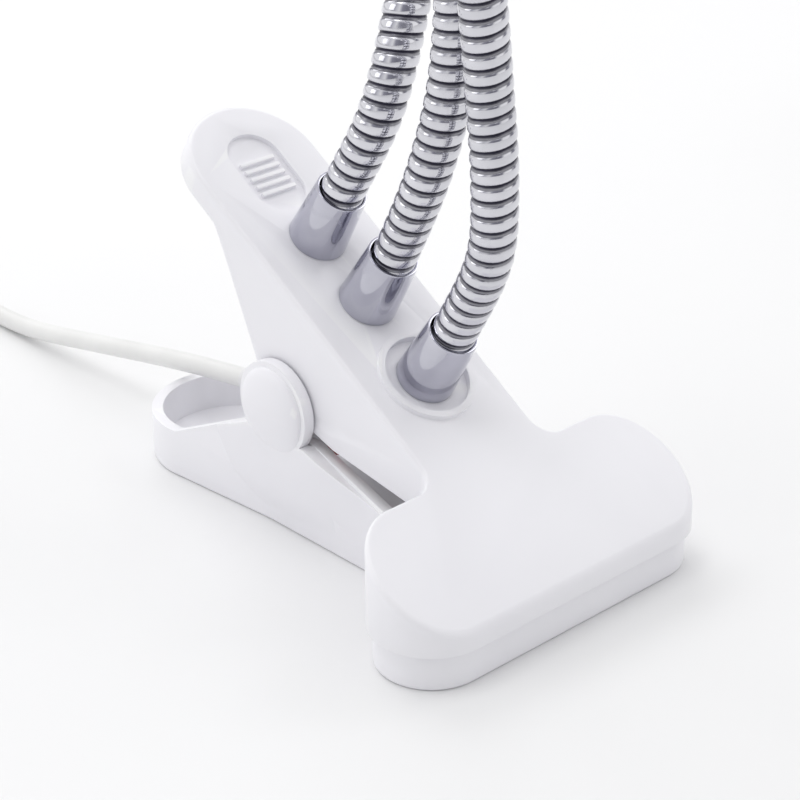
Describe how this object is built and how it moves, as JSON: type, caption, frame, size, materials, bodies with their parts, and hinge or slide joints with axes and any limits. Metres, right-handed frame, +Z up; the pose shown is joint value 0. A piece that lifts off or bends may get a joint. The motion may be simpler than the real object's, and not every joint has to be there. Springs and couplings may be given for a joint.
{
  "type": "clip-on reading lamp",
  "caption": "Clip-on reading lamp: a sprung jaw clip with a raised handle carries chrome goosenecks with small white shades, fed by a thin cord with an inline switch.",
  "frame": {"origin": "point on the flat underside of the lower half, straight below the clip's pivot", "axes": "+X along the pivot, -Y towards the jaw tip, +Y towards the squeeze handle, +Z up from the surface the clip lies on"},
  "size_m": [0.2443, 0.4112, 0.233],
  "materials": {
    "white_shell": "satin gloss",
    "pad_rubber": "matte",
    "steel": "bright zinc plated",
    "spring_steel": "drawn wire",
    "inner_plastic": "matte",
    "lead_red": "insulation",
    "lead_black": "insulation",
    "brass": "turned",
    "chrome": "polished",
    "gooseneck": "wound wire, plated",
    "cord_jacket": "soft satin",
    "tie_black": "matte",
    "board_green": "solder mask",
    "board_white": "white solder mask",
    "button_grey": "satin",
    "tongue_blue": "satin",
    "reflector": "vacuum metallised plastic",
    "lens": "frosted clear plastic"
  },
  "bodies": {
    "base": {"lower_jaw": "white_shell", "jaw_pad_lower": "pad_rubber", "pivot_pin": "steel", "pivot_cap_left": "white_shell", "pivot_cap_right": "white_shell", "torsion_spring": "spring_steel", "cord_clamp": "inner_plastic", "clamp_screws": "steel", "cord_grommet": "cord_jacket", "cord_to_switch": "cord_jacket", "cord_to_coil": "cord_jacket", "cord_coil": "cord_jacket", "cord_tail": "cord_jacket", "cord_tie": "tie_black", "switch_bottom": "white_shell", "switch_top": "white_shell", "switch_board": "board_green", "plug_body": "white_shell", "plug_shell": "steel", "plug_tongue": "tongue_blue"},
    "clip_top": {"upper_jaw": "white_shell", "jaw_pad_upper": "pad_rubber", "lead_red": "lead_red", "lead_black": "lead_black", "ferrule_rear": "chrome", "ferrule_middle": "chrome", "ferrule_front": "chrome", "ferrule_washers": "steel", "ferrule_nuts": "brass", "neck_rear_foot": "gooseneck", "neck_middle_foot": "gooseneck", "neck_front_foot": "gooseneck"},
    "rear_mid": {"neck_rear_mid": "gooseneck"},
    "rear_head": {"neck_rear_tip": "gooseneck", "head_rear_collar": "chrome", "head_rear_shade": "white_shell", "head_rear_board": "board_white", "head_rear_reflector": "reflector", "head_rear_lens": "lens", "head_rear_bezel": "white_shell"},
    "middle_mid": {"neck_middle_mid": "gooseneck"},
    "middle_head": {"neck_middle_tip": "gooseneck", "head_middle_collar": "chrome", "head_middle_shade": "white_shell", "head_middle_board": "board_white", "head_middle_reflector": "reflector", "head_middle_lens": "lens", "head_middle_bezel": "white_shell"},
    "front_mid": {"neck_front_mid": "gooseneck"},
    "front_head": {"neck_front_tip": "gooseneck", "head_front_collar": "chrome", "head_front_shade": "white_shell", "head_front_board": "board_white", "head_front_reflector": "reflector", "head_front_lens": "lens", "head_front_bezel": "white_shell"},
    "button": {"switch_button": "button_grey"}
  },
  "joints": [
    {"name": "jaw_open", "type": "hinge", "parent": "base", "child": "clip_top", "pos_m": [0, 0, 0.024], "axis": [-1, 0, 0], "range_deg": [0, 35], "stiffness_Nm_per_rad": 0.5, "springref_deg": -68.75, "deforming": ["torsion_spring"]},
    {"name": "neck_rear_sway", "type": "hinge", "parent": "clip_top", "child": "rear_mid", "pos_m": [0.023, -0.00388, 0.13234], "axis": [-0.3085, 0.9512, 0], "range_deg": [-20, 45]},
    {"name": "neck_rear_curl", "type": "hinge", "parent": "rear_mid", "child": "rear_head", "pos_m": [0.054, 0.00812, 0.20534], "axis": [-0.3085, 0.9512, 0], "range_deg": [-45, 55]},
    {"name": "neck_middle_sway", "type": "hinge", "parent": "clip_top", "child": "middle_mid", "pos_m": [-0.003, -0.02311, 0.12855], "axis": [-0.8682, -0.4961, 0], "range_deg": [-20, 45]},
    {"name": "neck_middle_curl", "type": "hinge", "parent": "middle_mid", "child": "middle_head", "pos_m": [-0.022, 0.00789, 0.20455], "axis": [-0.8682, -0.4961, 0], "range_deg": [-45, 55]},
    {"name": "neck_front_sway", "type": "hinge", "parent": "clip_top", "child": "front_mid", "pos_m": [-0.008, -0.04103, 0.11269], "axis": [0.8403, -0.5421, 0], "range_deg": [-20, 45]},
    {"name": "neck_front_curl", "type": "hinge", "parent": "front_mid", "child": "front_head", "pos_m": [-0.025, -0.06403, 0.18669], "axis": [0.8403, -0.5421, 0], "range_deg": [-45, 55]},
    {"name": "button_press", "type": "slide", "parent": "base", "child": "button", "axis": [0, 0, -1], "range_m": [0, 0.0008], "stiffness_N_per_m": 800}
  ]
}
